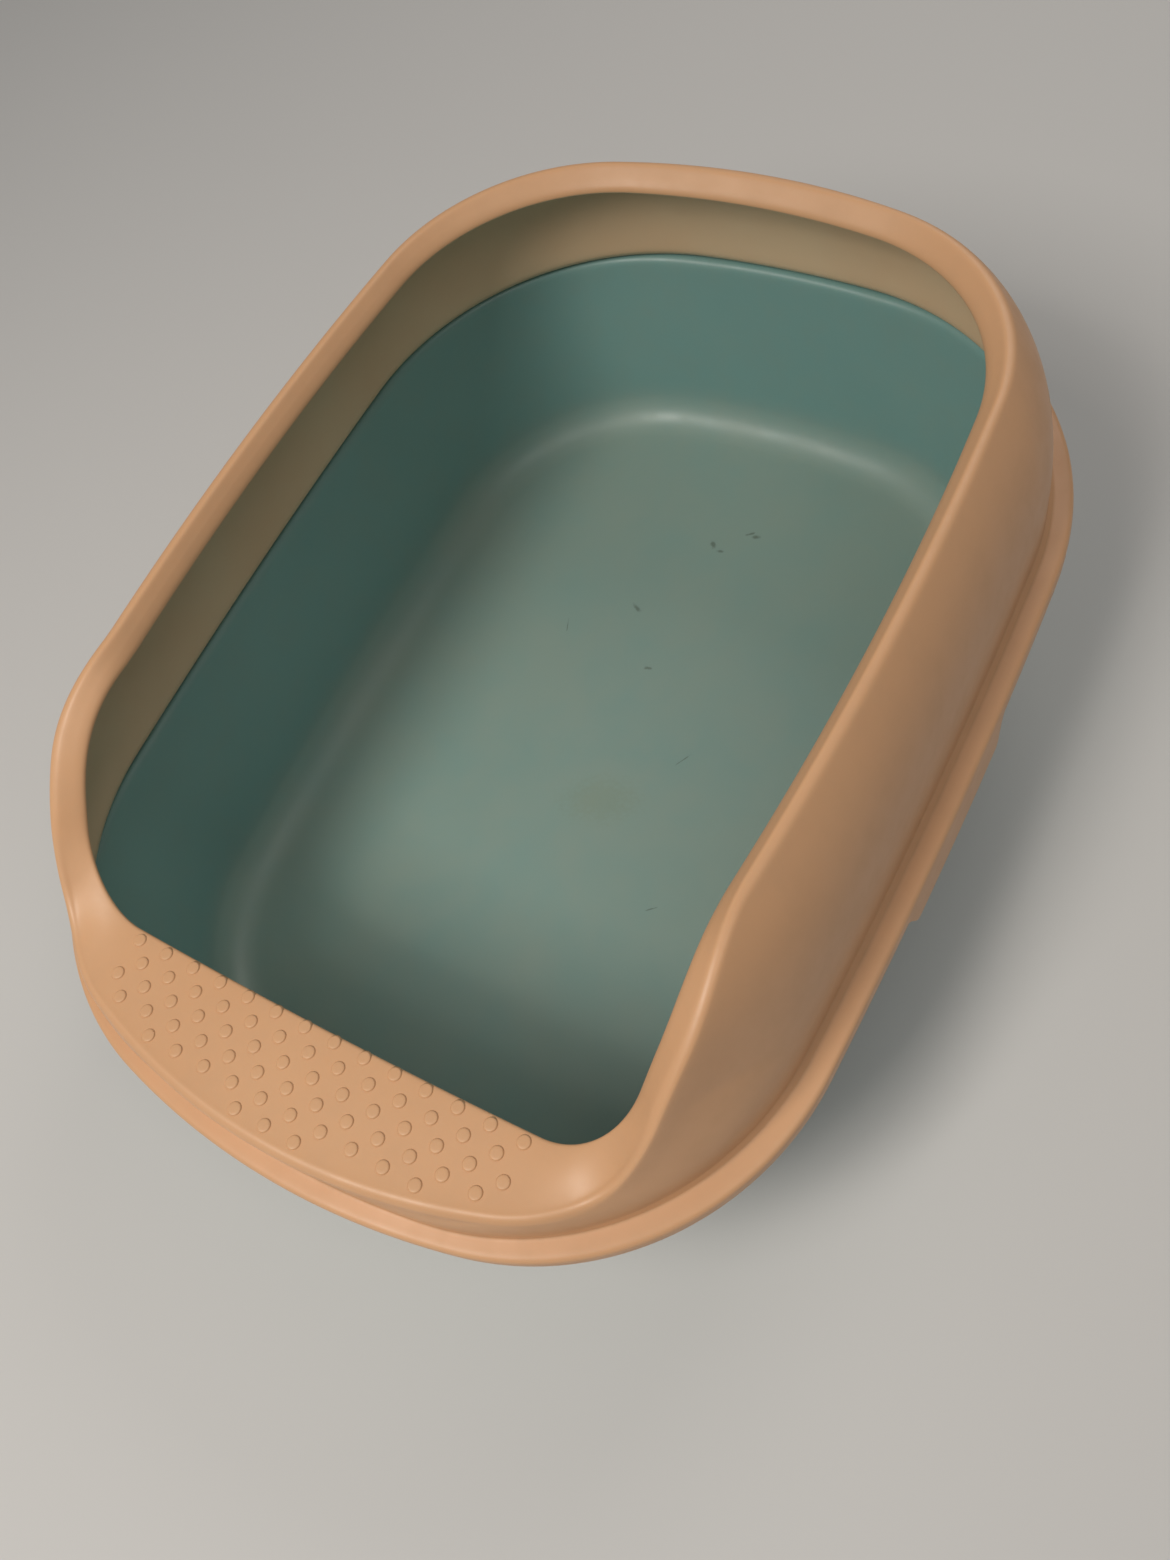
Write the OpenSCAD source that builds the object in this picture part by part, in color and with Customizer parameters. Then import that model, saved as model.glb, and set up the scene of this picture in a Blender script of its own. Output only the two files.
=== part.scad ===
// Open litter pan with a high removable rim.
// +Z is up, the low entry faces -Y, and the origin is the bottom centre of the whole object.
// An outline is [half width, front y, back y, front bow, front corner, back bow, back corner,
// side bow, flare]: a bowed front arc, a bowed back arc and two bowed sides, joined by corner arcs.
// Its lengths are in mm. The flare is the share by which it widens again towards the entry.

/* [Overall] */
// Half width of the ledge at the rim's foot
ledge_half_w = 190; // [180:1:200]
// Half length of the ledge
ledge_half_l = 262.5; // [250:0.5:275]
// Height of the ledge above the floor
ledge_z = 111; // [95:1:125]
// Thickness of both mouldings
wall_t = 2.2; // [1.6:0.1:2.6]

/* [Shield] */
// Height of the band's crest at the middle of the sides
crest_top_z = 195.7; // [178:0.1:212]
// Fall of the crest towards the back, per mm of length
crest_fall = 0.038; // [0:0.002:0.05]
// How far the band slopes down from its crest to the mouth
band_dip = 8.4; // [4:0.2:10]
// Width of the band along the sides
band_w = 10.9; // [10:0.1:13]
// Width of the band at the back
band_w_back = 13.2; // [12:0.2:16]
// How far the band's outer edge stands in from the ledge, at the sides
wall_lean = 34.5; // [28:0.5:38]
// How far it stands in at the back
wall_lean_back = 31; // [26:0.5:34]
// Depth of the band's inner lip
lip_h = 4; // [3.6:0.2:6]
// Depth of the skirt below the ledge
skirt_h = 9; // [6:0.5:12]

/* [Entry step] */
// Height of the step's bowed outer ridge
step_ridge_z = 134.4; // [130:0.2:142]
// Height of the step's straight inner edge
step_edge_z = 131.6; // [125:0.2:134]
// Depth of the step from the ridge to the inner edge
step_depth = 51; // [46:0.5:54]
// How far the ridge stands up over the step
bead_h = 0.6; // [0.2:0.1:1.5]
// Steepness of the sides where they drop to the step
drop_slope = 1; // [0.8:0.05:1.2]

/* [Raised dots] */
// Diameter of a dot
dot_d = 4.8; // [3:0.1:6]
// Height of a dot
dot_h = 0.8; // [0.5:0.1:1.2]
// Distance between dots along a row
dot_pitch_x = 14.8; // [13:0.2:15]
// Distance between rows
dot_pitch_y = 7.9; // [7:0.1:8]
// Number of dots in each row, from the inner edge outwards
dot_rows = [14, 13, 14, 13, 10, 3];

/* [Grips] */
// Length of each side grip
grip_l = 96; // [60:2:120]
// Depth of each side grip below the ledge
grip_h = 24; // [16:1:30]
// Place of the grips along the length
grip_y = -8; // [-40:1:40]

/* [Pan] */
// How much the pan's wall draws in from its rim to its floor
pan_draft = 16; // [10:1:20]
// Fillet between the floor and the wall
pan_fillet = 18; // [10:1:24]

/* [Hidden] */
gap = 0.3;
side_bow = 2940;
band_bow = 1450;
side_bow_y = 43.5;
flare_y = -100;
flare_len = 60;
shield_color = "peachpuff";
pan_color = "cadetblue";
// Number of steps on each arc: front, front corner, side, back corner, back
steps = [8, 8, 11, 9, 5];

// ---- small helpers ----
function lerp(a, b, t) = a + (b - a) * t;
function clamp01(t) = min(1, max(0, t));
function ease(t) = let (c = clamp01(t)) c * c * (3 - 2 * c);
// The lower of two heights, blended over k where they meet, and the higher of two
function soft_min(a, b, k) =
    let (h = clamp01(0.5 + (b - a) / (2 * k))) lerp(b, a, h) - k * h * (1 - h);
function soft_max(a, b, k) = -soft_min(-a, -b, k);
function angle_of(v) = atan2(v[1], v[0]);
function unit(v) = v / norm(v);

// ---- outlines ----
// Where two circles cross: the crossing with the lowest y, or with the highest if back is true
function crossing(c1, r1, c2, r2, back) =
    let (d = c2 - c1, l = norm(d), a = (r1 * r1 - r2 * r2 + l * l) / (2 * l),
         h = sqrt(max(0, r1 * r1 - a * a)) * [-d[1], d[0]] / l)
    c1 + d * a / l + ((h[1] > 0) == back ? h : -h);
// The arc from angle a to angle b without its last point; crowd above 1 packs its start
function arc(c, r, a, b, n, crowd = 1) =
    [for (i = [0:n - 1]) let (t = lerp(a, b, pow(i / n, crowd))) c + r * [cos(t), sin(t)]];
// The right half of an outline, from the front middle round to the back middle
function half_outline(o) =
    let (side_c = [o[0] - o[7], side_bow_y],
         front_c = [0, o[1] + o[3]], back_c = [0, o[2] - o[5]],
         fc = crossing(front_c, o[3] - o[4], side_c, o[7] - o[4], false),
         bc = crossing(back_c, o[5] - o[6], side_c, o[7] - o[6], true),
         a1 = angle_of(fc - front_c), a2 = angle_of(fc - side_c),
         a3 = angle_of(bc - side_c), a4 = angle_of(bc - back_c))
    concat(arc(front_c, o[3], -90, a1, steps[0]), arc(fc, o[4], a1, a2, steps[1]),
           arc(side_c, o[7], a2, a3, steps[2], 1.3), arc(bc, o[6], a3, a4, steps[3]),
           arc(back_c, o[5], a4, 90, steps[4]), [[0, o[2]]]);
// The whole outline, anticlockwise from the front middle
function outline(o) =
    let (h = [for (p = half_outline(o))
             [p[0] * (1 + o[8] * ease((flare_y - p[1]) / flare_len)), p[1]]], m = len(h))
    concat(h, [for (i = [m - 2:-1:1]) [-h[i][0], h[i][1]]]);
// An outline moved inwards by d all round
function inset(o, d) =
    [o[0] - d, o[1] + d, o[2] - d, o[3] - d, o[4] - d, o[5] - d, o[6] - d, o[7], o[8]];
// A level ring: an outline at one height
function level(o, z) = [for (p = outline(o)) [p[0], p[1], z]];

// ---- the shield's guiding outlines: ledge, its inner riser, wall, band and mouth ----
ledge_o = [ledge_half_w, -ledge_half_l, ledge_half_l, 350, 133, 650, 153, side_bow, 0];
foot_o = inset([ledge_half_w, -ledge_half_l, ledge_half_l, 410, 139, 610, 154, side_bow, 0], 9);
wall_o = [ledge_half_w - 13.5, -ledge_half_l + 9.3, ledge_half_l - 13.5, 400, 127, 600, 142,
          side_bow, 0];
band_o = [ledge_half_w - wall_lean, -ledge_half_l + 9.5, ledge_half_l - wall_lean_back,
          263, 71, 318, 102, band_bow, 0.054];
mouth_o = [band_o[0] - band_w, band_o[1] + step_depth, band_o[2] - band_w_back,
           3200, 33, 360, 97, band_bow, 0.039];

// ---- heights of the band's crest and of the mouth along the length ----
crest_in = 3.6;
// Both run level, roll over into a slope, and the crest then runs out into the step's ridge
function drop_z(y, foot) = foot + drop_slope * (y - mouth_o[1]);
function crest_z(y) =
    soft_max(step_ridge_z,
        soft_min(drop_z(y, step_ridge_z + 10.8), crest_top_z - crest_fall * y, 39), 10);
function mouth_z(y) =
    soft_min(drop_z(y, step_edge_z), crest_top_z - band_dip - crest_fall * y, 27);
// 1 along the entry step, 0 along the high sides and back
function at_step(y) = 1 - ease((y - band_o[1] - 27) / 40);

// ---- the shield's outer skin, ring by ring from the skirt up to the inner lip ----
wall = outline(wall_o);
band = outline(band_o);
mouth = outline(mouth_o);
foot_z = ledge_z + 6.4;
// A ring of the wall: t runs from 0 at the foot to 1 just under the band; it rises upright and
// rolls inwards towards its top
function wall_ring(t) =
    [for (j = [0:len(wall) - 1])
        let (p = lerp(wall[j], band[j], pow(t, 3)))
        [p[0], p[1], lerp(foot_z, crest_z(band[j][1]) - 4.6, t)]];
// A ring of the band: f of the way from its outer edge to the mouth, and d mm further in
function band_ring(f, d, lift) =
    [for (j = [0:len(band) - 1])
        let (w = norm(mouth[j] - band[j]), e = f * w + d, p = lerp(band[j], mouth[j], e / w),
             slope = clamp01((e - crest_in) / (w - crest_in)))
        [p[0], p[1], lerp(crest_z(band[j][1]), mouth_z(mouth[j][1]), slope) + lift
             + at_step(band[j][1]) * bead_h * ease(1 - abs(e - 3) / 5)]];
shield_rings = [
    level(ledge_o, ledge_z - skirt_h),
    level(ledge_o, ledge_z - 3),
    level(inset(ledge_o, 0.7), ledge_z - 1),
    level(inset(ledge_o, 2.6), ledge_z),
    level(inset(foot_o, -1.4), ledge_z + 0.6),
    level(foot_o, ledge_z + 1.8),
    level(inset(foot_o, 0.3), ledge_z + 3.8),
    [for (j = [0:len(wall) - 1])
        let (p = lerp(outline(inset(foot_o, 0.6))[j], wall[j], 0.35)) [p[0], p[1], ledge_z + 5.4]],
    wall_ring(0.02), wall_ring(0.16), wall_ring(0.34), wall_ring(0.52),
    wall_ring(0.68), wall_ring(0.82), wall_ring(0.92), wall_ring(1),
    band_ring(0, 0.6, -2.8), band_ring(0, 1.7, -1.1), band_ring(0, 3.2, -0.2),
    band_ring(0, 4.6, 0), band_ring(0.55, 1.2, 0), band_ring(1, -2, 0),
    band_ring(1, -0.6, -0.5), band_ring(1, 0, -2), band_ring(1, 0, -lip_h)
];

// ---- skins and solids ----
// The outward direction at ring k, place j, across a stack of rings
function outward(r, k, j) =
    let (m = len(r[0]), a = r[max(0, k - 1)][j], b = r[min(len(r) - 1, k + 1)][j],
         c = r[k][(j + m - 1) % m], d = r[k][(j + 1) % m])
    unit(cross(d - c, b - a));
// The same stack moved inwards by the wall thickness
function inner_skin(r, t) =
    [for (k = [0:len(r) - 1]) [for (j = [0:len(r[0]) - 1]) r[k][j] - t * outward(r, k, j)]];
// A closed solid from a stack of rings that ends where it began
module ring_solid(r) {
    n = len(r);
    m = len(r[0]);
    polyhedron(points = [for (ring = r) each ring],
        faces = [for (k = [0:n - 1], j = [0:m - 1], half = [0, 1])
            let (k2 = (k + 1) % n, j2 = (j + 1) % m)
            half == 0 ? [k * m + j, k2 * m + j, k2 * m + j2]
                      : [k * m + j, k2 * m + j2, k * m + j2]]);
}
// A closed solid from a stack of rings with a flat floor at each end
module capped_solid(r) {
    n = len(r);
    m = len(r[0]);
    polyhedron(points = [for (ring = r) each ring],
        faces = concat(
            [for (k = [0:n - 2], j = [0:m - 1], half = [0, 1])
                let (j2 = (j + 1) % m)
                half == 0 ? [k * m + j, (k + 1) * m + j, (k + 1) * m + j2]
                          : [k * m + j, (k + 1) * m + j2, k * m + j2]],
            [[for (j = [0:m - 1]) j]],
            [[for (j = [m - 1:-1:0]) (n - 1) * m + j]]));
}
function reversed(v) = [for (i = [len(v) - 1:-1:0]) v[i]];

// ---- raised dots of the entry step ----
function step_outer_y(x) =
    let (r = band_o[3] - crest_in) band_o[1] + band_o[3] - sqrt(r * r - x * x);
function step_z(x, y) =
    lerp(step_edge_z, step_ridge_z, (mouth_o[1] - y) / (mouth_o[1] - step_outer_y(x)));
module dots() {
    for (row = [0:len(dot_rows) - 1], i = [0:dot_rows[row] - 1]) {
        x = (i - (dot_rows[row] - 1) / 2) * dot_pitch_x;
        y = mouth_o[1] - 2.9 - row * dot_pitch_y;
        translate([x, y, step_z(x, y) - dot_h])
            cylinder(d = dot_d, h = 2 * dot_h, $fn = 10);
    }
}

// ---- side grips, one plate on each side that hangs from the ledge ----
grip_r = 7;
grip_lean = 3;
function grip_outline() =
    let (y = grip_l / 2 - grip_r, z = -grip_h + grip_r)
    concat([[grip_l / 2 + 2, -2]], [[grip_l / 2, z]],
           [for (a = [-18:-18:-72]) [y + grip_r * cos(a), z + grip_r * sin(a)]],
           [for (a = [-90:-18:-162]) [-y + grip_r * cos(a), z + grip_r * sin(a)]],
           [[-grip_l / 2, z]], [[-grip_l / 2 - 2, -2]]);
module grip() {
    translate([ledge_half_w - wall_t + 0.2, grip_y, ledge_z])
        rotate([90, 0, 90]) rotate([-grip_lean, 0, 0])
            linear_extrude(wall_t) polygon(grip_outline());
}

module shield() {
    color(shield_color) {
        ring_solid(concat(shield_rings, reversed(inner_skin(shield_rings, wall_t))));
        dots();
        for (side = [0, 1]) mirror([side, 0, 0]) grip();
    }
}

// ---- the pan ----
// Height of the pan's rim, under the shield's ledge with the running gap
rim_z = ledge_z - wall_t - gap;
rim_o = inset([ledge_half_w, -ledge_half_l, ledge_half_l, 414, 127, 512, 144, side_bow, 0], 14);
pan_wall_top_z = rim_z - 5;
// The wall's outline at a height: the draft from the floor up to the rim
function pan_wall(z, out) = level(inset(rim_o, pan_draft * (1 - z / pan_wall_top_z) - out), z);
// One ring of the fillet, at an angle from 0 on the floor to 90 on the wall
function pan_fillet_ring(a, r, out, z0) =
    level(inset(rim_o, pan_draft * (1 - (z0 + r * (1 - cos(a))) / pan_wall_top_z) - out
        + r * (1 - sin(a))), z0 + r * (1 - cos(a)));
pan_outside = [
    for (a = [0, 22, 45, 68]) pan_fillet_ring(a, pan_fillet + wall_t, wall_t, 0),
    pan_wall(pan_fillet + wall_t, wall_t),
    pan_wall(ledge_z / 2, wall_t),
    pan_wall(pan_wall_top_z - 3, wall_t),
    level(inset(rim_o, -3.6), rim_z - wall_t - 1.2),
    level(inset(rim_o, -5.4), rim_z - wall_t),
    level(inset(ledge_o, wall_t + gap + wall_t), rim_z - wall_t),
    level(inset(ledge_o, wall_t + gap + wall_t), rim_z - 8),
    level(inset(ledge_o, wall_t + gap), rim_z - 8),
    level(inset(ledge_o, wall_t + gap), rim_z - 1.6),
    level(inset(ledge_o, wall_t + gap + 1.2), rim_z - 0.3),
    level(inset(ledge_o, wall_t + gap + 2.6), rim_z)
];
pan_inside = [
    level(inset(rim_o, -4.6), rim_z),
    level(inset(rim_o, -2.4), rim_z - 0.7),
    level(inset(rim_o, -0.7), rim_z - 2.4),
    pan_wall(pan_wall_top_z, 0),
    pan_wall(ledge_z / 2, 0),
    pan_wall(pan_fillet + wall_t, 0),
    for (a = [68, 45, 22, 0]) pan_fillet_ring(a, pan_fillet, 0, wall_t)
];
module pan() {
    color(pan_color)
        capped_solid(concat(pan_outside, pan_inside));
}

pan();
shield();
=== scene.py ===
# %% [markdown]
# # An open litter pan with a high, removable rim
#
# The object is two thin mouldings. A deep teal pan holds the litter. A peach rim, here
# called the shield, drops over the pan's lip: it has a ledge all round, walls that rise upright and roll
# in to a sloping band, and a low entry step at the front with rows of raised dots. The CAD model says
# how big the two are and how the shield lifts off. This script gives them smooth skins and plastic.

# %% Load the CAD frame
import math
import bpy
import numpy as np
from mathutils import Matrix, Vector


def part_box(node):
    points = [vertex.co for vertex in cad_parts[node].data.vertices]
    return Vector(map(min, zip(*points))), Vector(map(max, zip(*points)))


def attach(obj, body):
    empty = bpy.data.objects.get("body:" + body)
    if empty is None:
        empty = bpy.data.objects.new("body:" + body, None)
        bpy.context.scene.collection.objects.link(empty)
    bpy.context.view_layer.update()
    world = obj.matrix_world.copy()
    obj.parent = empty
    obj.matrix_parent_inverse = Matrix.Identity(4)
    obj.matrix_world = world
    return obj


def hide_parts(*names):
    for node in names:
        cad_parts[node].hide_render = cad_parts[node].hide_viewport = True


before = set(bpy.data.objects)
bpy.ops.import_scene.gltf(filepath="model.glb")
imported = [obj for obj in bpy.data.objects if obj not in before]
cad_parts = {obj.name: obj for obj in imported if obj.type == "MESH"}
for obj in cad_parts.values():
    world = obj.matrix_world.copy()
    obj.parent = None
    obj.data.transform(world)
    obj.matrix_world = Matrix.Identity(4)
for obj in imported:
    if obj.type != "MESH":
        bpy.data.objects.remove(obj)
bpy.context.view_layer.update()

# %% [markdown]
# ## Sizes
#
# Everything is in metres, with the floor at z = 0 and the entry towards -Y. The overall sizes are read
# from the CAD boxes, so the skins always fit the frame. What a box can't say, such as a corner radius,
# is a named value here. It is the CAD design's value, or a softer one where the mould rounds an edge.

# %% Sizes of the two mouldings
MM = 0.001
shield_lo, shield_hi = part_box("shield")
pan_lo, pan_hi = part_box("pan")
WALL = 2.2 * MM
GAP = 0.3 * MM
LEDGE_HALF_L = shield_hi[1]
LEDGE_HALF_W = 190 * MM
RIM_Z = pan_hi[2]
LEDGE_Z = RIM_Z + WALL + GAP
SKIRT_H = 9 * MM
GRIP_H = LEDGE_Z - shield_lo[2]
GRIP_HALF_L = 48 * MM
GRIP_Y = -8 * MM
GRIP_LEAN = math.radians(3)
CREST_TOP_Z = 195.7 * MM
CREST_FALL = 0.038
BAND_DIP = 8.4 * MM
STEP_RIDGE_Z = 134.4 * MM
STEP_EDGE_Z = 131.6 * MM
BEAD_H = 0.6 * MM
LIP_H = 1.7 * MM
SIDE_BOW = 2.94
BAND_BOW = 1.45
SIDE_BOW_Y = 43.5 * MM
FLARE_Y = -100 * MM
FLARE_LEN = 60 * MM
print("ledge height, mm:", round(LEDGE_Z / MM, 1), " grip depth, mm:", round(GRIP_H / MM, 1))

# %% [markdown]
# ## Outlines
#
# Seen from above, every ring of both mouldings is the same kind of curve: a bowed front, two slightly
# bowed sides and a bowed back, joined by corner arcs that touch their neighbours. One function draws
# them all, so two outlines always have matching points and a wall can be stretched between them.

# %% Outline from arcs
STEPS = (40, 44, 120, 44, 26)  # points on the front, front corner, side, back corner and back


def ease(t):
    """Smooth step: 3t^2 - 2t^3, held at 0 and 1 outside the range."""
    t = np.clip(t, 0, 1)
    return t * t * (3 - 2 * t)


def crossing(c1, r1, c2, r2, back):
    """Where two circles cross: from c1 along the line between the centres, then square to it."""
    d = c2 - c1
    reach = np.hypot(*d)
    along = (r1 * r1 - r2 * r2 + reach * reach) / (2 * reach)
    side = np.sqrt(max(0.0, r1 * r1 - along * along)) * np.array([-d[1], d[0]]) / reach
    return c1 + d * along / reach + (side if (side[1] > 0) == back else -side)


def arc(centre, radius, start, stop, count):
    """Centre plus radius times (cos, sin), from the start angle up to, not at, the stop angle."""
    t = start + (stop - start) * np.arange(count) / count
    return centre + radius * np.column_stack([np.cos(t), np.sin(t)])


def outline(o):
    """Closed outline from [half width, front y, back y, front bow, front corner, back bow, back corner,
    side bow, flare]; the flare widens it again towards the entry, x times 1 + flare * ease."""
    a, y_front, y_back, r_front, c_front, r_back, c_back, bow, flare = o
    side = np.array([a - bow, SIDE_BOW_Y])
    front, back = np.array([0, y_front + r_front]), np.array([0, y_back - r_back])
    fc = crossing(front, r_front - c_front, side, bow - c_front, False)
    bc = crossing(back, r_back - c_back, side, bow - c_back, True)
    angle = lambda v: math.atan2(v[1], v[0])
    turns = [-math.pi / 2, angle(fc - front), angle(fc - side),
             angle(bc - side), angle(bc - back), math.pi / 2]
    arcs = zip((front, fc, side, bc, back), (r_front, c_front, bow, c_back, r_back))
    half = [arc(c, r, turns[i], turns[i + 1], STEPS[i]) for i, (c, r) in enumerate(arcs)]
    half = np.vstack(half + [[0, y_back]])
    half[:, 0] *= 1 + flare * ease((FLARE_Y - half[:, 1]) / FLARE_LEN)
    return np.vstack([half, half[-2:0:-1] * [-1, 1]])


def inset(o, d):
    """The same outline moved inwards by d: every length and radius loses d."""
    return np.array(o) + np.array([-d, d, -d, -d, -d, -d, -d, 0, 0])


def level(o, z):
    """An outline lifted to one height."""
    xy = outline(o)
    return np.column_stack([xy, np.full(len(xy), z)])


FOOTPRINT = [LEDGE_HALF_W, -LEDGE_HALF_L, LEDGE_HALF_L]
LEDGE = np.array(FOOTPRINT + [0.350, 0.133, 0.650, 0.153, SIDE_BOW, 0])
RISER = inset(FOOTPRINT + [0.410, 0.139, 0.610, 0.154, SIDE_BOW, 0], 9 * MM)
WALL_FOOT = np.array([LEDGE_HALF_W - 11.7 * MM, -LEDGE_HALF_L + 9.3 * MM, LEDGE_HALF_L - 11.7 * MM,
                      0.400, 0.127, 0.600, 0.142, SIDE_BOW, 0])
BAND = np.array([LEDGE_HALF_W - 34.5 * MM, -LEDGE_HALF_L + 9.5 * MM, LEDGE_HALF_L - 31 * MM,
                 0.263, 0.071, 0.318, 0.102, BAND_BOW, 0.054])
MOUTH = np.array([BAND[0] - 10.9 * MM, BAND[1] + 51 * MM, BAND[2] - 13.2 * MM,
                  3.2, 0.033, 0.360, 0.097, BAND_BOW, 0.039])
RIM = inset(FOOTPRINT + [0.414, 0.127, 0.512, 0.144, SIDE_BOW, 0], 14 * MM)
print("points round each outline:", len(outline(LEDGE)))

# %% [markdown]
# ## From a stack of rings to a smooth skin
#
# A moulding's section is a short list of control rings. A cubic B-spline runs through them from ring to
# ring, which rounds every edge the way a mould does: rings set close together keep an edge crisp, and
# rings far apart give a soft bend. The spline is a matrix of weights, so the whole skin is one product.

# %% Spline, normals and curvature of a skin
def spline_skin(rings, per_span):
    """Cubic B-spline across the rings: weights (matrix) times rings, passing through both end rings."""
    k = len(rings)
    padded = np.concatenate([2 * rings[:1] - rings[1:2], rings, 2 * rings[-1:] - rings[-2:-1]])
    t = np.linspace(0, k - 1, (k - 1) * per_span + 1)
    i = np.minimum(t.astype(int), k - 2)
    u = t - i
    basis = np.stack([(1 - u) ** 3, 3 * u**3 - 6 * u**2 + 4, -3 * u**3 + 3 * u**2 + 3 * u + 1, u**3]) / 6
    weights = np.zeros((len(t), k + 2))
    for step in range(4):
        weights[np.arange(len(t)), i + step] = basis[step]
    return np.tensordot(weights, padded, 1)


def skin_normals(skin):
    """Outward direction: cross product of the step round the outline and the step up the section."""
    around = np.roll(skin, -1, 1) - np.roll(skin, 1, 1)
    along = np.gradient(skin, axis=0)
    n = np.cross(around, along)
    return n / np.linalg.norm(n, axis=2, keepdims=True)


def bend(skin, normals):
    """Curvature across the section: second difference along the normal over the step squared, per mm."""
    second = np.zeros_like(skin)
    second[1:-1] = skin[2:] + skin[:-2] - 2 * skin[1:-1]
    step = np.linalg.norm(np.gradient(skin, axis=0), axis=2)
    return (second * normals).sum(2) / np.maximum(step, 0.1 * MM) ** 2 * MM


def mesh_from_grid(name, grid, marks, closed):
    """One object from a grid that wraps round its columns; rows wrap too, or end in a fan to a centre."""
    rows, cols = grid.shape[:2]
    index = np.arange(rows * cols).reshape(rows, cols)
    low = index if closed else index[:-1]
    high = np.roll(index, -1, 0) if closed else index[1:]
    quads = np.stack([low, np.roll(low, -1, 1), np.roll(high, -1, 1), high], 2).reshape(-1, 4)
    points, marks = grid.reshape(-1, 3), [m.ravel() for m in marks]
    loops, sizes = quads.ravel(), np.full(len(quads), 4)
    if not closed:
        points = np.vstack([points, grid[0].mean(0), grid[-1].mean(0)])
        marks = [np.append(m, [0, 0]) for m in marks]
        first, last = rows * cols, rows * cols + 1
        fan_a = np.column_stack([np.full(cols, first), np.roll(index[0], -1), index[0]])
        fan_b = np.column_stack([np.full(cols, last), index[-1], np.roll(index[-1], -1)])
        loops = np.concatenate([loops, fan_a.ravel(), fan_b.ravel()])
        sizes = np.concatenate([sizes, np.full(2 * cols, 3)])
    return mesh_object(name, points, loops, sizes, marks)


def mesh_object(name, points, loops, sizes, marks):
    """Fills a mesh from flat arrays and shades it smooth; marks are the edge, groove and inside masks."""
    mesh = bpy.data.meshes.new(name)
    mesh.vertices.add(len(points))
    mesh.vertices.foreach_set("co", points.astype(np.float32).ravel())
    mesh.loops.add(len(loops))
    mesh.loops.foreach_set("vertex_index", loops.astype(np.int32))
    mesh.polygons.add(len(sizes))
    mesh.polygons.foreach_set("loop_start", np.concatenate([[0], np.cumsum(sizes)[:-1]]).astype(np.int32))
    mesh.update(calc_edges=True)
    mesh.polygons.foreach_set("use_smooth", np.ones(len(sizes), bool))
    for label, values in zip(("edge", "groove", "inside"), marks):
        mesh.attributes.new(label, "FLOAT", "POINT").data.foreach_set("value", values.astype(np.float32))
    mesh.validate()
    piece = bpy.data.objects.new(name, mesh)
    bpy.context.scene.collection.objects.link(piece)
    print(name, "vertices:", len(points), " faces:", len(sizes))
    return piece


# %% [markdown]
# ## The shield
#
# The shield is one wall of even thickness that folds: skirt, ledge, a narrow sloping strip, the wall,
# a rounded crest, the band, and a short lip that turns down round the mouth. At the front the wall drops
# and the band widens into the entry step, so the same rings do both jobs and only their heights change
# with y. A grid skin was chosen over modelling by hand because the drop then blends without any seam.

# %% Heights of the crest and the mouth along the length
def soft_min(a, b, k):
    """The lower of two heights; within k of each other they blend, k * h * (1 - h) under the mix."""
    h = np.clip(0.5 + (b - a) / (2 * k), 0, 1)
    return b + (a - b) * h - k * h * (1 - h)


def drop_z(y, foot):
    """The slope that both edges take at the entry: one up for one back."""
    return foot + y - MOUTH[1]


def crest_z(y):
    """High run, rolled over into the slope, run out into the step's ridge."""
    high = CREST_TOP_Z - CREST_FALL * y
    side = soft_min(drop_z(y, STEP_RIDGE_Z + 10.8 * MM), high, 39 * MM)
    return -soft_min(-side, -STEP_RIDGE_Z, 10 * MM)


def mouth_z(y):
    """The same for the mouth, lower than the crest by the band's dip."""
    high = CREST_TOP_Z - BAND_DIP - CREST_FALL * y
    return soft_min(drop_z(y, STEP_EDGE_Z), high, 27 * MM)


# %% Control rings of the shield
foot_xy, band_xy, mouth_xy = outline(WALL_FOOT), outline(BAND), outline(MOUTH)
band_width = np.linalg.norm(mouth_xy - band_xy, axis=1)
at_step = 1 - ease((band_xy[:, 1] - BAND[1] - 27 * MM) / (40 * MM))
FOOT_Z = LEDGE_Z + 4.3 * MM
CREST_IN = 5.5 * MM
CREST_ROLL = 2.8 * MM  # how far below the crest the wall ends and the rounded ridge begins
WALL_ROLL = 3  # how late the wall rolls inwards: 1 is straight, 3 keeps it upright until near the top
BEAD_IN = 3 * MM
BEAD_REACH = 5 * MM
GRIP_CORNER = 5 * MM


def wall_ring(t):
    """Wall at t: plan position t^roll of the way in, height t of the way up."""
    xy = foot_xy + (band_xy - foot_xy) * t**WALL_ROLL
    z = FOOT_Z + (crest_z(band_xy[:, 1]) - CREST_ROLL - FOOT_Z) * t
    return np.column_stack([xy, z])


def band_ring(part, extra, lift):
    """Band at a part of its width plus extra mm: level to the crest, then straight to the mouth."""
    e = part * band_width + extra * MM
    f = (e / band_width)[:, None]
    xy = band_xy + (mouth_xy - band_xy) * f
    slope = np.clip((e - CREST_IN) / (band_width - CREST_IN), 0, 1)
    z = crest_z(band_xy[:, 1]) * (1 - slope) + mouth_z(mouth_xy[:, 1]) * slope
    bead = at_step * BEAD_H * ease(1 - np.abs(e - BEAD_IN) / BEAD_REACH)
    return np.column_stack([xy, z + bead + lift * MM])


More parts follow.
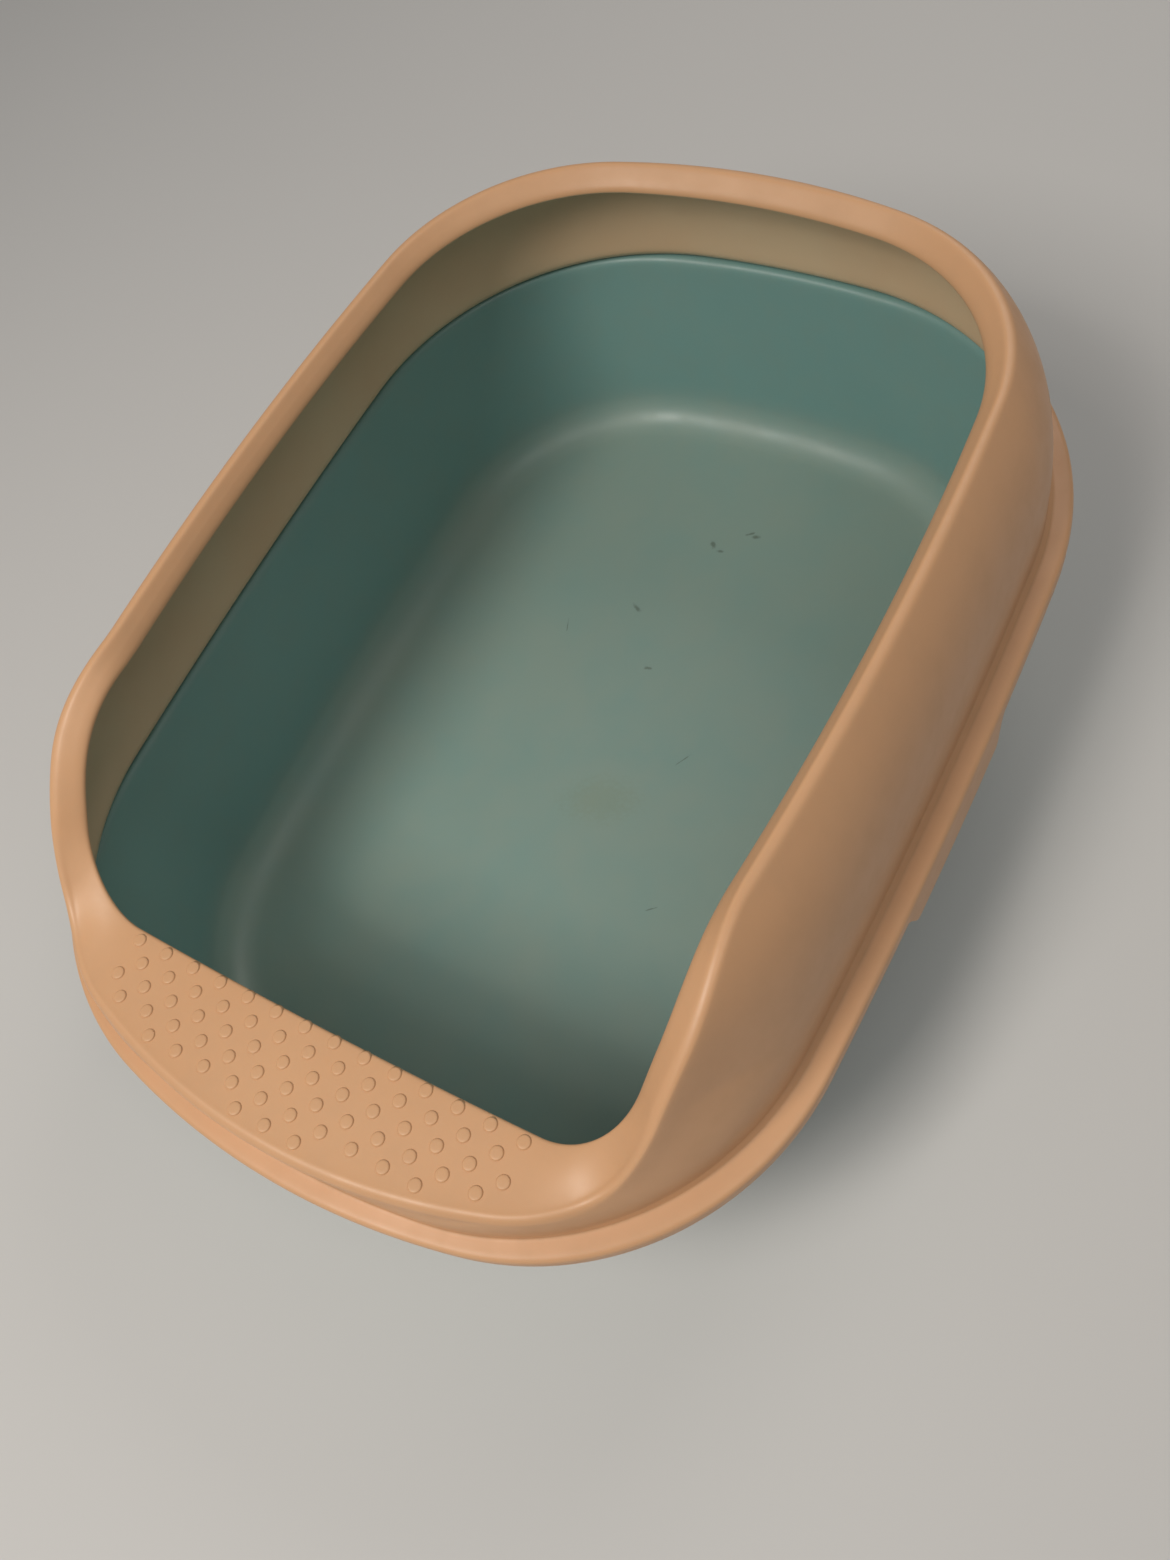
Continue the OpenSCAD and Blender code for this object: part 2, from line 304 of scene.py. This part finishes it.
def skirt_ring(depth):
    """Skirt at a share of its depth: it hangs deeper, and leans out a little, along both grips."""
    ring = level(LEDGE, LEDGE_Z)
    grip = ease((GRIP_HALF_L + GRIP_CORNER - np.abs(ring[:, 1] - GRIP_Y)) / (2 * GRIP_CORNER))
    drop = (SKIRT_H + (GRIP_H - SKIRT_H) * grip) * depth
    ring[:, 0] += np.sign(ring[:, 0]) * grip * drop * math.tan(GRIP_LEAN)
    ring[:, 2] -= drop
    return ring


def strip_ring(f):
    """The narrow sloping strip between the ledge and the wall's foot."""
    riser = outline(RISER)
    xy = riser + (foot_xy - riser) * f
    return np.column_stack([xy, np.full(len(xy), LEDGE_Z + (0.7 + 3.4 * f) * MM)])


shield_rings = np.array([
    skirt_ring(1.0), skirt_ring(0.8), skirt_ring(0.55), level(LEDGE, LEDGE_Z - 2.6 * MM),
    level(inset(LEDGE, 0.5 * MM), LEDGE_Z - 0.9 * MM), level(inset(LEDGE, 1.9 * MM), LEDGE_Z),
    level(inset(LEDGE, 4.5 * MM), LEDGE_Z + 0.2 * MM),
    level(inset(RISER, -2.2 * MM), LEDGE_Z + 0.4 * MM), level(inset(RISER, -0.7 * MM), LEDGE_Z + 0.5 * MM),
    strip_ring(0.04), strip_ring(0.22), strip_ring(0.45), strip_ring(0.68), strip_ring(0.88),
    wall_ring(0.02), wall_ring(0.1), wall_ring(0.22), wall_ring(0.36), wall_ring(0.5),
    wall_ring(0.63), wall_ring(0.75), wall_ring(0.85), wall_ring(0.93), wall_ring(1.0),
    band_ring(0, 0.9, -1.9), band_ring(0, 1.9, -1.15), band_ring(0, 3.1, -0.75), band_ring(0, 4.3, -0.6),
    band_ring(0, 5.5, -0.7), band_ring(0.25, 4.0, -0.4), band_ring(0.5, 2.4, -0.2), band_ring(0.75, 0.4, 0),
    band_ring(1, -2.0, 0), band_ring(1, -1.0, -0.1), band_ring(1, -0.3, -0.5), band_ring(1, 0, -1.1),
    band_ring(1, 0, -LIP_H / MM),
])
print("control rings:", len(shield_rings))


# %% Shield skin, thickness and rounded edges
def folded_shell(name, rings, wall, per_span):
    """Outer skin, a half-round edge, the skin moved in along its normals, and a half-round edge back."""
    outer = spline_skin(rings, per_span)
    normals = skin_normals(outer)
    curve = bend(outer, normals)
    pick = np.unique(np.append(np.arange(0, len(outer), 2), len(outer) - 1))
    turn = np.linspace(0, np.pi, 7)[1:-1, None, None]
    ends = []
    for row, sign in ((-1, 1), (0, -1)):
        along = np.gradient(outer, axis=0)[row] * sign
        along /= np.linalg.norm(along, axis=1, keepdims=True)
        centre = outer[row] - normals[row] * wall / 2
        ends.append(centre + wall / 2 * (np.cos(turn) * normals[row] + np.sin(turn) * along))
    inner = (outer - normals * wall)[pick]
    grid = np.concatenate([outer, ends[0], inner[::-1], ends[1][::-1]])
    plain = lambda count: np.zeros((count, outer.shape[1]))
    rest = len(grid) - len(outer)
    edge = np.concatenate([np.clip(-curve * 2.2 - 0.15, 0, 1), plain(rest)])
    groove = np.concatenate([np.clip(curve * 1.2 - 0.1, 0, 1), plain(rest)])
    inside = np.concatenate([plain(len(outer)), plain(rest) + 1])
    return mesh_from_grid(name, grid, [edge, groove, inside], closed=True)


shield_skin = folded_shell("shield_skin", shield_rings, WALL, per_span=3)
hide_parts("shield")
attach(shield_skin, "shield")

# %% [markdown]
# ## Raised dots of the entry step
#
# The dots give a cat's paws grip as it steps in. They stand in rows that shift by half a step from one
# to the next. Each is a low, flat-topped button whose foot flares out into the step, so light catches
# one side of it. They are one mesh, made by placing the same small profile at every dot's centre.

# %% Dots
DOT_ROWS = (14, 13, 14, 13, 10, 3)
DOT_PITCH_X = 14.8 * MM
DOT_PITCH_Y = 7.9 * MM
FIRST_ROW_Y = MOUTH[1] - 2.9 * MM
DOT_R = np.array([3.3, 2.95, 2.8, 2.7, 2.52, 2.15, 1.4, 0.6]) * MM
DOT_Z = np.array([-0.3, 0.0, 0.22, 0.48, 0.66, 0.74, 0.76, 0.77]) * MM
DOT_SIDES = 20


def step_point(x, y):
    """Point and outward direction of the shield's skin straight under (x, y)."""
    _, point, normal, _ = shield_skin.ray_cast((x, y, 1.0), (0, 0, -1))
    return point, normal


def entry_dots():
    """Each centre plus radius times (cos, sin) across, and the profile's height along the normal."""
    x = np.concatenate([(np.arange(n) - (n - 1) / 2) * DOT_PITCH_X for n in DOT_ROWS])
    y = np.concatenate([np.full(n, FIRST_ROW_Y - row * DOT_PITCH_Y) for row, n in enumerate(DOT_ROWS)])
    found = np.array([step_point(*place) for place in zip(x, y)])
    centre, normal = found[:, 0], found[:, 1]
    across = np.cross([0, 1, 0], normal)
    across /= np.linalg.norm(across, axis=1, keepdims=True)
    inward = np.cross(normal, across)
    t = np.arange(DOT_SIDES) * 2 * np.pi / DOT_SIDES
    disc = across[:, None, None] * np.cos(t)[:, None] + inward[:, None, None] * np.sin(t)[:, None]
    rise = normal[:, None, None] * DOT_Z[:, None, None]
    rings = centre[:, None, None] + disc * DOT_R[:, None, None] + rise
    count, rows = len(x), len(DOT_R)
    tops = centre + normal * DOT_Z[-1]
    bottoms = centre + normal * DOT_Z[0]
    base = (np.arange(count) * rows * DOT_SIDES)[:, None, None]
    index = base + np.arange(rows * DOT_SIDES).reshape(rows, DOT_SIDES)
    low, high = index[:, :-1], index[:, 1:]
    quads = np.stack([low, np.roll(low, -1, 2), np.roll(high, -1, 2), high], 3).reshape(-1)
    hub = count * rows * DOT_SIDES + np.arange(count)[:, None]
    fan = np.broadcast_to(hub, (count, DOT_SIDES))
    top = np.stack([fan, index[:, -1], np.roll(index[:, -1], -1, 1)], 2)
    under = np.stack([fan + count, np.roll(index[:, 0], -1, 1), index[:, 0]], 2)
    points = np.vstack([rings.reshape(-1, 3), tops, bottoms])
    loops = np.concatenate([quads, top.ravel(), under.ravel()])
    sizes = np.concatenate([np.full(len(quads) // 4, 4), np.full(2 * count * DOT_SIDES, 3)])
    edge = np.zeros(len(points))
    edge[: count * rows * DOT_SIDES].reshape(count, rows, DOT_SIDES)[:, 4:6] = 0.35
    return mesh_object("entry_dots", points, loops, sizes, [edge])


dots = entry_dots()
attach(dots, "shield")
print("dots:", sum(DOT_ROWS))

# %% [markdown]
# ## The pan
#
# The pan's walls draw in towards the floor so that it can leave its mould, a wide fillet joins them to
# the floor, and the top rolls out into a flat lip with a short turned-down edge that the shield sits on.
# It is one closed skin: from the middle of the underside, out and up the outside, over the lip, down the
# inside and back to the middle of the floor. The floor has a very slight crown, as moulded floors do.

# %% Pan
PAN_DRAFT = 16 * MM
PAN_FILLET = 18 * MM
PAN_WALL_TOP = RIM_Z - 5 * MM
FLOOR_CROWN = 0.6 * MM


def wall_inset(z):
    """Draft: the wall stands in by the whole draft at the floor and by nothing at the rim."""
    return PAN_DRAFT * (1 - z / PAN_WALL_TOP)


def fillet_ring(angle, radius, out, z0):
    """Quarter-circle fillet: height r(1 - cos), inset r(1 - sin), on top of the wall's draft."""
    z = z0 + radius * (1 - math.cos(angle))
    return level(inset(RIM, wall_inset(z) - out + radius * (1 - math.sin(angle))), z)


def floor_rings(edge_ring, shares, crown):
    """Flat floor: the edge ring shrunk towards the middle, lifted by the crown times 1 - share^2."""
    middle = np.array([0, 0, edge_ring[0, 2]])
    return [middle + (edge_ring - middle) * s + [0, 0, crown * (1 - s * s)] for s in shares]


def lip_ring(in_by, down):
    """A ring of the lip, measured in from the ledge's outline and down from the rim."""
    return level(inset(LEDGE, in_by * MM), RIM_Z - down * MM)


def rim_ring(in_by, down):
    """The same, measured in from the wall's own outline at the rim."""
    return level(inset(RIM, in_by * MM), RIM_Z - down * MM)


# The turned-down lip, from under the rim, round its edge and back on top: mm in and mm down.
LIP_SECTION = ((6.2, 2.2), (4.9, 2.4), (4.7, 3.4), (4.7, 6.5), (4.6, 7.7), (3.9, 8.0), (3.0, 8.0),
               (2.6, 7.6), (2.5, 6.4), (2.5, 2.4), (2.8, 1.0), (3.8, 0.2), (5.4, 0))
fillet_angles = np.radians([12, 26, 40, 54, 68, 80])
floor_shares = np.array([0.05, 0.25, 0.5, 0.75, 0.92])
under_edge = fillet_ring(0, PAN_FILLET + WALL, WALL, 0)
floor_edge = fillet_ring(0, PAN_FILLET, 0, WALL)
wall_heights = np.linspace(PAN_FILLET + WALL, PAN_WALL_TOP - 3 * MM, 5)
pan_rings = np.array(
    floor_rings(under_edge, floor_shares, 0) + [under_edge]
    + [fillet_ring(a, PAN_FILLET + WALL, WALL, 0) for a in fillet_angles]
    + [level(inset(RIM, wall_inset(z) - WALL), z) for z in wall_heights]
    + [rim_ring(-3.0, 2.4 + WALL / MM), rim_ring(-4.4, 0.5 + WALL / MM), rim_ring(-6.5, WALL / MM)]
    + [lip_ring(*place) for place in LIP_SECTION]
    + [rim_ring(-5.6, 0), rim_ring(-3.9, 0.15), rim_ring(-2.3, 0.9), rim_ring(-1.1, 2.2), rim_ring(-0.3, 4)]
    + [level(inset(RIM, wall_inset(z)), z) for z in wall_heights[::-1]]
    + [fillet_ring(a, PAN_FILLET, 0, WALL) for a in fillet_angles[::-1]]
    + [floor_edge] + floor_rings(floor_edge, floor_shares[::-1], FLOOR_CROWN)
)
pan_grid = spline_skin(pan_rings, 2)
pan_normals = skin_normals(pan_grid)
pan_bend = bend(pan_grid, pan_normals)
pan_marks = [np.clip(-pan_bend * 2.2 - 0.15, 0, 1), np.clip(pan_bend * 6, 0, 1)]
pan_skin = mesh_from_grid("pan_skin", pan_grid, pan_marks, closed=False)
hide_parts("pan")
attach(pan_skin, "pan")

# %% [markdown]
# ## Moulded plastic
#
# Both mouldings are polypropylene: satin, a little milky, and never quite even. One recipe makes both.
# A slow noise drifts the colour, a fine one gives the grain of the mould's steel, and a stretched one
# scratches the surface and dulls it there. The masks that were stored on the mesh polish the edges, darken
# the grooves with dust and painted shade, and mark the shield's inner face for its painted bounce light.
# All patterns are read from Object coordinates, so nothing slides or stretches.

# %% Node helpers
def add(tree, kind, settings=(), **inputs):
    """Adds a node, sets its properties, and fills or links its inputs by name or by number."""
    n = tree.nodes.new(kind)
    for key, value in dict(settings).items():
        setattr(n, key, value)
    for key, value in inputs.items():
        socket = n.inputs[int(key[1:])] if key[0] == "_" else n.inputs[key.replace("_", " ")]
        if isinstance(value, bpy.types.NodeSocket):
            tree.links.new(value, socket)
        else:
            socket.default_value = value
    return n


def math_node(tree, operation, a, b=0.0, clamp=False):
    """One sum on one or two values."""
    return add(tree, "ShaderNodeMath", {"operation": operation, "use_clamp": clamp}, _0=a, _1=b).outputs[0]


def noise(tree, where, scale, detail=3.0, roughness=0.5, distortion=0.0):
    """Fractal noise, 0 to 1, around 0.5."""
    return add(tree, "ShaderNodeTexNoise", Vector=where, Scale=scale, Detail=detail,
               Roughness=roughness, Distortion=distortion).outputs["Fac"]


def ramp(tree, value, low, high, to_low=0.0, to_high=1.0):
    """Stretches a range of values onto another, and holds the ends."""
    return add(tree, "ShaderNodeMapRange", {"interpolation_type": "SMOOTHSTEP"}, _0=value, _1=low, _2=high,
               _3=to_low, _4=to_high).outputs[0]


def blend_color(tree, share, a, b):
    """Colour a where the share is 0, b where it is 1."""
    return add(tree, "ShaderNodeMix", {"data_type": "RGBA"}, _0=share, _6=a, _7=b).outputs[2]


def stretched(tree, where, angle, scale):
    """The coordinates turned about Z and squeezed, so that a noise on them becomes streaks."""
    return add(tree, "ShaderNodeMapping", Vector=where, Rotation=(0, 0, angle), Scale=scale).outputs[0]


# %% The plastic recipe
def moulded_plastic(name, base, pale, dust_and_shade, roughness, extra=None):
    """Principled plastic: drift, grain, scratches, polished edges, and grooves darkened with dust and
    painted shade.
    """
    material = bpy.data.materials.new(name)
    material.use_nodes = True
    tree = material.node_tree
    shader = tree.nodes["Principled BSDF"]
    where = add(tree, "ShaderNodeTexCoord").outputs["Object"]
    edge = add(tree, "ShaderNodeAttribute", {"attribute_name": "edge"}).outputs["Fac"]
    groove = add(tree, "ShaderNodeAttribute", {"attribute_name": "groove"}).outputs["Fac"]
    drift = noise(tree, where, 9.0, 2.0)
    mottle = noise(tree, where, 60.0, 4.0, 0.6)
    grain = noise(tree, where, 1400.0, 2.0)
    scratch_a = ramp(tree, noise(tree, stretched(tree, where, 0.5, (40, 900, 60)), 1.0, 2.0), 0.69, 0.78)
    scratch_b = ramp(tree, noise(tree, stretched(tree, where, -0.9, (30, 1100, 50)), 1.0, 2.0), 0.70, 0.80)
    patches = ramp(tree, noise(tree, where, 14.0, 3.0, 0.6), 0.45, 0.75)
    scratches = math_node(tree, "MULTIPLY", math_node(tree, "MAXIMUM", scratch_a, scratch_b), patches)

    shade = math_node(tree, "MULTIPLY", ramp(tree, drift, 0.3, 0.7), 0.35)
    color = blend_color(tree, shade, base, pale)
    specks = math_node(tree, "MULTIPLY", ramp(tree, mottle, 0.35, 0.75), 0.12)
    color = blend_color(tree, specks, color, dust_and_shade)
    # grooves darken towards the dust colour: dust held there, and painted shade in the creases
    groove_dust_and_shade = math_node(tree, "MULTIPLY", groove, ramp(tree, mottle, 0.2, 0.8, 0.15, 0.6))
    color = blend_color(tree, groove_dust_and_shade, color, dust_and_shade)
    color = blend_color(tree, math_node(tree, "MULTIPLY", edge, 0.18), color, pale)
    color = blend_color(tree, math_node(tree, "MULTIPLY", scratches, 0.16), color, pale)

    rough = ramp(tree, mottle, 0.25, 0.8, roughness - 0.05, roughness + 0.06)
    rough = math_node(tree, "ADD", rough, math_node(tree, "MULTIPLY", scratches, 0.16))
    rough = math_node(tree, "SUBTRACT", rough, math_node(tree, "MULTIPLY", edge, 0.05))
    rough = math_node(tree, "ADD", rough, math_node(tree, "MULTIPLY", groove, 0.1), clamp=True)
    if extra:
        color, rough = extra(tree, where, color, rough)

    ripple = math_node(tree, "MULTIPLY", noise(tree, where, 22.0, 1.0), 0.9)
    relief = math_node(tree, "ADD", math_node(tree, "MULTIPLY", grain, 0.02),
                       math_node(tree, "MULTIPLY", mottle, 0.05))
    relief = math_node(tree, "SUBTRACT", math_node(tree, "ADD", relief, ripple),
                       math_node(tree, "MULTIPLY", scratches, 0.04))
    bump = add(tree, "ShaderNodeBump", Strength=1.0, Distance=0.00035, Height=relief)
    tree.links.new(color, shader.inputs["Base Color"])
    tree.links.new(rough, shader.inputs["Roughness"])
    tree.links.new(bump.outputs[0], shader.inputs["Normal"])
    shader.inputs["IOR"].default_value = 1.49
    shader.inputs["Subsurface Weight"].default_value = 0.08
    shader.inputs["Subsurface Radius"].default_value = (0.004, 0.0025, 0.0015)
    shader.inputs["Subsurface Scale"].default_value = 1.0
    print("material", name, "nodes:", len(tree.nodes))
    return material


# %% [markdown]
# ## Greying and marks of use in the pan
#
# The floor of the pan is greyer than its walls. It is painted here as a dry film, though reflected light
# may be the real cause. Here the floor and the foot of the walls are mixed unevenly towards a grey-green
# that fades out 30 mm up. Short dark scuffs and a faint yellow stain lie on it. The last three scuffs, long
# and thin, are made up. Each mark is a stretched spot: the coordinates are moved to the mark, turned, and
# squeezed, and the distance from its middle fades it out. A noise frays its edge.

# %% Marks on the floor of the pan
SCUFFS = (  # x, y, turn in degrees, half length, half width, all lengths in mm
    (-6.5, 146, -50, 4.2, 1.9), (-0.5, 143, 20, 3.0, 1.4), (11, 160, 35, 3.8, 1.1),
    (15, 159, 20, 3.4, 2.0), (-29, 91, -30, 4.6, 1.8), (-5, 57, 15, 3.6, 1.3),
    (38, 12, 60, 7.0, 0.5), (-62, 66, -70, 6.0, 0.4), (60, -70, 40, 5.0, 0.5),
)
STAIN = (7, -26, 20, 30, 19)
GREYING_H = 30 * MM


def spot(tree, where, mark):
    """1 at the middle of a stretched spot, fading to 0 at its frayed edge."""
    x, y, turn, half_l, half_w = mark
    moved = add(tree, "ShaderNodeVectorMath", {"operation": "SUBTRACT"}, _0=where,
                _1=(x * MM, y * MM, WALL)).outputs[0]
    turned = add(tree, "ShaderNodeMapping", Vector=moved, Rotation=(0, 0, math.radians(-turn))).outputs[0]
    squeezed = add(tree, "ShaderNodeVectorMath", {"operation": "MULTIPLY"}, _0=turned,
                   _1=(1 / (half_l * MM), 1 / (half_w * MM), 100)).outputs[0]
    far = add(tree, "ShaderNodeVectorMath", {"operation": "LENGTH"}, _0=squeezed).outputs["Value"]
    frayed = math_node(tree, "ADD", far, math_node(tree, "MULTIPLY", noise(tree, where, 420.0, 2.0), 1.1))
    return ramp(tree, frayed, 0.75, 1.5, 1.0, 0.0)


def greying_and_marks(tree, where, color, rough):
    """Greys the floor and the foot of the walls, yellows the stain, and darkens and dulls the scuffs."""
    height = add(tree, "ShaderNodeSeparateXYZ", Vector=where).outputs["Z"]
    low_down = ramp(tree, height, WALL, WALL + GREYING_H, 1.0, 0.0)
    cloudy = ramp(tree, noise(tree, where, 16.0, 4.0, 0.6), 0.25, 0.7, 0.5, 0.85)
    # a grey-green mixed into the floor and the foot of the walls, fading out with height
    greying = math_node(tree, "MULTIPLY", low_down, cloudy)
    color = blend_color(tree, greying, color, (0.27, 0.35, 0.305, 1))
    scuffed = spot(tree, where, SCUFFS[0])
    for mark in SCUFFS[1:]:
        scuffed = math_node(tree, "MAXIMUM", scuffed, spot(tree, where, mark))
    stained = math_node(tree, "MULTIPLY", spot(tree, where, STAIN), 0.16)
    color = blend_color(tree, stained, color, (0.20, 0.22, 0.10, 1))
    color = blend_color(tree, math_node(tree, "MULTIPLY", scuffed, 0.6), color, (0.07, 0.095, 0.07, 1))
    return color, math_node(tree, "ADD", rough, math_node(tree, "MULTIPLY", scuffed, 0.2), clamp=True)


# %% Painted bounce light on the shield's inner face
def painted_pan_bounce(tree, where, color, rough):
    """Fades the face that looks into the pan unevenly towards a pale olive.

    The tint is painted reflected light: the teal pan's light bounced onto this face. The tint stands in for
    what may be dust or only light from the pan: a guess, matched by eye.
    """
    inside = add(tree, "ShaderNodeAttribute", {"attribute_name": "inside"}).outputs["Fac"]
    cloudy = ramp(tree, noise(tree, where, 12.0, 3.0), 0.3, 0.7, 0.6, 0.85)
    share = math_node(tree, "MULTIPLY", inside, cloudy)
    # painted reflected light: the inner face is mixed towards the pale olive of the pan's bounced light
    return blend_color(tree, share, color, (0.72, 0.55, 0.36, 1)), rough


# %% Give each piece its plastic
shield_plastic = moulded_plastic("shield_plastic", base=(0.66, 0.37, 0.195, 1), pale=(0.74, 0.435, 0.24, 1),
                                 dust_and_shade=(0.46, 0.28, 0.16, 1), roughness=0.47,
                                 extra=painted_pan_bounce)
pan_plastic = moulded_plastic("pan_plastic", base=(0.18, 0.335, 0.32, 1), pale=(0.22, 0.375, 0.35, 1),
                              dust_and_shade=(0.27, 0.31, 0.25, 1), roughness=0.39, extra=greying_and_marks)
for piece, material in ((shield_skin, shield_plastic), (dots, shield_plastic), (pan_skin, pan_plastic)):
    piece.data.materials.append(material)

# %% [markdown]
# ## Floor, light and camera
#
# The object stands on a plain pale floor. The key is a soft lamp in front and above, a little to the
# left, so the step and the back of the rim shine while the pan's front corner and the inside of the left
# wall fall into shade. Three weaker lamps fill from above, from behind and from the right, and the pale
# room lifts what is left. The camera looks down from the front right.

# %% Pale floor
FLOOR_HALF = 6.0
floor_mesh = bpy.data.meshes.new("floor")
FLOOR_Z = -0.2 * MM  # just under the pan, so the two surfaces don't share a plane
floor_corners = [(x * FLOOR_HALF, y * FLOOR_HALF, FLOOR_Z) for x, y in ((-1, -1), (1, -1), (1, 1), (-1, 1))]
floor_mesh.from_pydata(floor_corners, [], [(0, 1, 2, 3)])
floor = bpy.data.objects.new("floor", floor_mesh)
bpy.context.scene.collection.objects.link(floor)
floor_paint = bpy.data.materials.new("floor_paint")
floor_paint.use_nodes = True
floor_shader = floor_paint.node_tree.nodes["Principled BSDF"]
floor_shader.inputs["Base Color"].default_value = (0.62, 0.61, 0.60, 1)
floor_shader.inputs["Roughness"].default_value = 0.7
floor_mesh.materials.append(floor_paint)


# %% Lamps and background
def soft_lamp(name, place, aim, size, power, color):
    """A square area lamp at a place, turned to face the aim."""
    lamp = bpy.data.lights.new(name, "AREA")
    lamp.size, lamp.energy, lamp.color = size, power, color
    holder = bpy.data.objects.new(name, lamp)
    holder.location = place
    holder.rotation_euler = (Vector(aim) - Vector(place)).to_track_quat("-Z", "Y").to_euler()
    bpy.context.scene.collection.objects.link(holder)
    return holder


middle = (0, 0, LEDGE_Z)
soft_lamp("key_lamp", (-0.25, -1.0, 1.35), middle, 0.5, 11.5, (1.0, 0.95, 0.88))
soft_lamp("top_lamp", (-0.3, -0.7, 1.5), middle, 0.4, 4, (1.0, 0.95, 0.88))
soft_lamp("back_lamp", (0.1, 1.3, 1.2), middle, 0.8, 5.2, (1.0, 0.95, 0.88))
soft_lamp("side_lamp", (0.9, -0.3, 1.7), middle, 0.8, 4.5, (1.0, 0.95, 0.88))
world = bpy.data.worlds.new("pale_room")
bpy.context.scene.world = world
world.use_nodes = True
world.node_tree.nodes["Background"].inputs["Color"].default_value = (0.93, 0.97, 1.0, 1)
world.node_tree.nodes["Background"].inputs["Strength"].default_value = 0.15

# %% Camera
CAMERA_PLACE = Vector((0.2342, -0.2225, 0.5796))
LOOK = Vector((-0.36542, 0.31052, -0.87752))
RIGHT = Vector((0.86731, 0.45589, -0.19985))
LENS_OVER_LONG_SIDE = 0.780  # focal length over the long side of the picture
camera = bpy.data.cameras.new("camera")
camera.sensor_width = 36.0
camera.lens = camera.sensor_width * LENS_OVER_LONG_SIDE
camera.clip_start = 0.01
viewer = bpy.data.objects.new("camera", camera)
turned = Matrix((RIGHT, RIGHT.cross(LOOK), -LOOK)).transposed().to_4x4()
viewer.matrix_world = Matrix.Translation(CAMERA_PLACE) @ turned
bpy.context.scene.collection.objects.link(viewer)
bpy.context.scene.camera = viewer
bpy.context.scene.view_settings.view_transform = "Standard"
